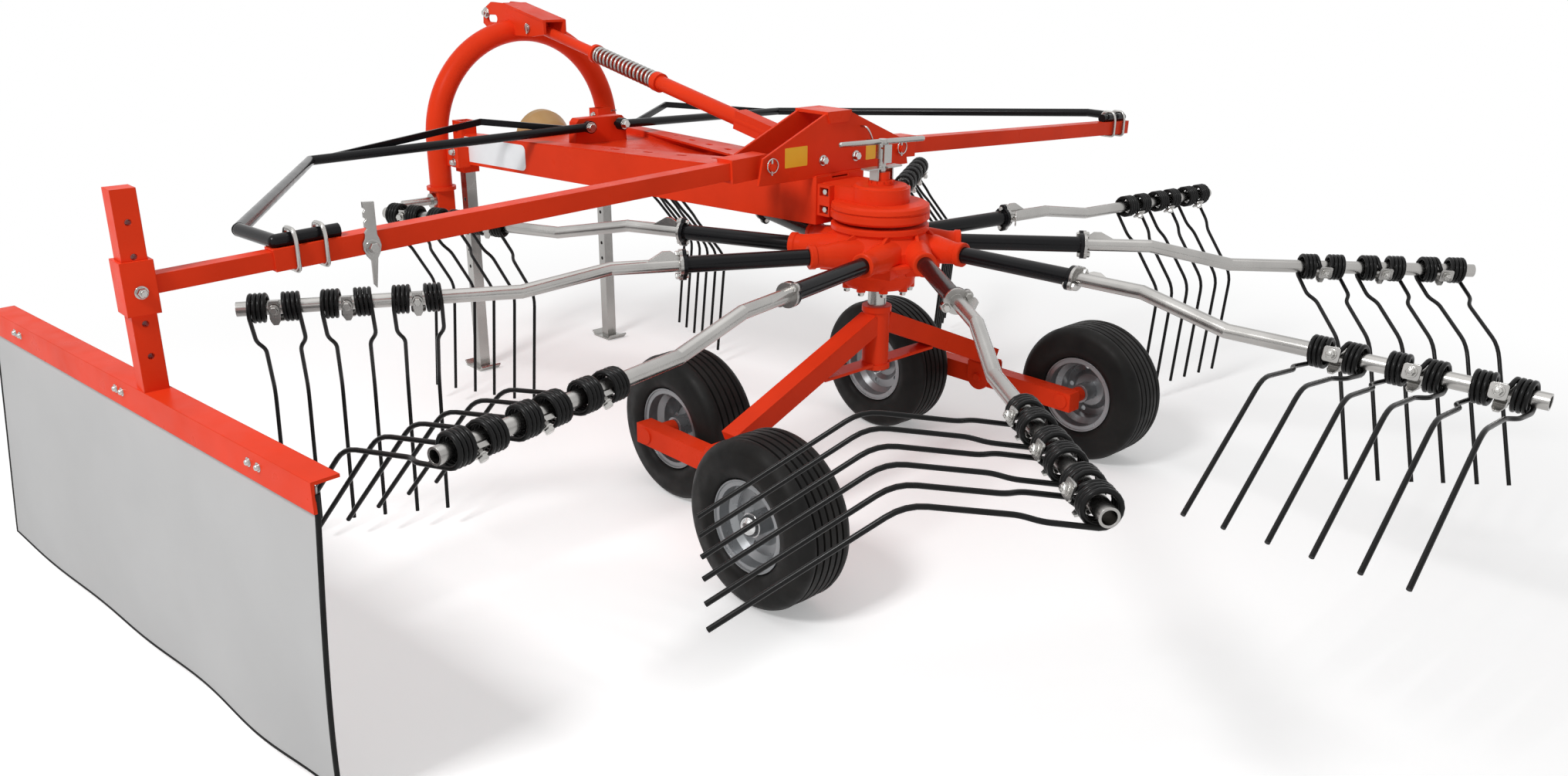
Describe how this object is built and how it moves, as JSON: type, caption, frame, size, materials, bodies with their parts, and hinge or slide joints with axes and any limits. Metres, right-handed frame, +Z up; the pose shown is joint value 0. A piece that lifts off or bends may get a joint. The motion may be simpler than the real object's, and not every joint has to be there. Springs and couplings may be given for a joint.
{
  "type": "single rotor rotary hay rake",
  "caption": "Tractor-mounted rotary hay rake: tined arms turn under a gearbox on twin bogie axles, with a folding guard on each side and a swath curtain.",
  "frame": {"origin": "middle of the machine's box, on the ground", "axes": "+X the way of travel, +Y the machine's left, +Z up"},
  "size_m": [3.4984, 3.4826, 1.267],
  "materials": {
    "red_paint": "gloss orange-red enamel",
    "zinc": "bright zinc plate",
    "black_paint": "gloss black enamel",
    "tan_plastic": "tan moulded plastic",
    "curtain_sheet": "light grey coated cloth",
    "tyre": "black rubber",
    "rim_paint": "silver-grey paint"
  },
  "bodies": {
    "frame": {"main_frame": "red_paint", "mast": "red_paint", "headstock_arch": "red_paint", "hitch_pins": "zinc", "top_strut": "red_paint", "strut_rod": "red_paint", "strut_spring": "zinc", "strut_pins": "zinc", "gearbox": "red_paint", "height_crank": "zinc", "column": "zinc", "axle_frame": "red_paint", "pto_shaft": "zinc", "pto_guard": "tan_plastic"},
    "rotor": {"rotor_hub": "red_paint", "arm_tubes": "black_paint", "tine_bars": "zinc", "tine_coils": "black_paint", "tine_legs": "black_paint"},
    "left_stand": {"stand_left": "zinc"},
    "right_stand": {"stand_right": "zinc"},
    "left_guard": {"boom_left": "red_paint", "guard_left": "black_paint"},
    "right_guard": {"boom_right": "red_paint", "guard_right": "black_paint"},
    "reach_bar": {"boom_extension": "red_paint"},
    "swath_curtain": {"curtain_post": "red_paint", "curtain": "curtain_sheet"},
    "left_bogie": {"bogie_left": "red_paint"},
    "right_bogie": {"bogie_right": "red_paint"},
    "rear_left_wheel": {"tyre_rear_left": "tyre", "rim_rear_left": "rim_paint"},
    "rear_right_wheel": {"tyre_rear_right": "tyre", "rim_rear_right": "rim_paint"},
    "front_left_wheel": {"tyre_front_left": "tyre", "rim_front_left": "rim_paint"},
    "front_right_wheel": {"tyre_front_right": "tyre", "rim_front_right": "rim_paint"}
  },
  "joints": [
    {"name": "rotor_spin", "type": "hinge", "parent": "frame", "child": "rotor", "pos_m": [-0.1545, -0.1455, 0.7], "axis": [0, 0, 1], "continuous": true},
    {"name": "left_boom_fold", "type": "hinge", "parent": "frame", "child": "left_guard", "pos_m": [0.0655, 0.0945, 0.916], "axis": [0.9854, -0.1691, -0.0222], "range_deg": [0, 90]},
    {"name": "right_boom_fold", "type": "hinge", "parent": "frame", "child": "right_guard", "pos_m": [0.0655, -0.3855, 0.916], "axis": [-0.9854, -0.1691, 0.0222], "range_deg": [0, 90]},
    {"name": "curtain_reach", "type": "slide", "parent": "left_guard", "child": "reach_bar", "axis": [0, 0.9993, -0.0384], "range_m": [0, 0.25]},
    {"name": "curtain_height", "type": "slide", "parent": "reach_bar", "child": "swath_curtain", "axis": [0, 0, 1], "range_m": [0, 0.1]},
    {"name": "left_stand_lift", "type": "slide", "parent": "frame", "child": "left_stand", "axis": [0, 0, 1], "range_m": [0, 0.3]},
    {"name": "right_stand_lift", "type": "slide", "parent": "frame", "child": "right_stand", "axis": [0, 0, 1], "range_m": [0, 0.3]},
    {"name": "left_bogie_rock", "type": "hinge", "parent": "frame", "child": "left_bogie", "pos_m": [-0.1345, 0.3895, 0.2055], "axis": [0, 1, 0], "range_deg": [-8, 8]},
    {"name": "rear_left_wheel_spin", "type": "hinge", "parent": "left_bogie", "child": "rear_left_wheel", "pos_m": [-0.4345, 0.5145, 0.2055], "axis": [0, 1, 0], "continuous": true},
    {"name": "front_left_wheel_spin", "type": "hinge", "parent": "left_bogie", "child": "front_left_wheel", "pos_m": [0.1625, 0.2645, 0.2055], "axis": [0, 1, 0], "continuous": true},
    {"name": "right_bogie_rock", "type": "hinge", "parent": "frame", "child": "right_bogie", "pos_m": [-0.1345, -0.6805, 0.2055], "axis": [0, 1, 0], "range_deg": [-8, 8]},
    {"name": "rear_right_wheel_spin", "type": "hinge", "parent": "right_bogie", "child": "rear_right_wheel", "pos_m": [-0.4345, -0.8055, 0.2055], "axis": [0, 1, 0], "continuous": true},
    {"name": "front_right_wheel_spin", "type": "hinge", "parent": "right_bogie", "child": "front_right_wheel", "pos_m": [0.1625, -0.5555, 0.2055], "axis": [0, 1, 0], "continuous": true}
  ]
}
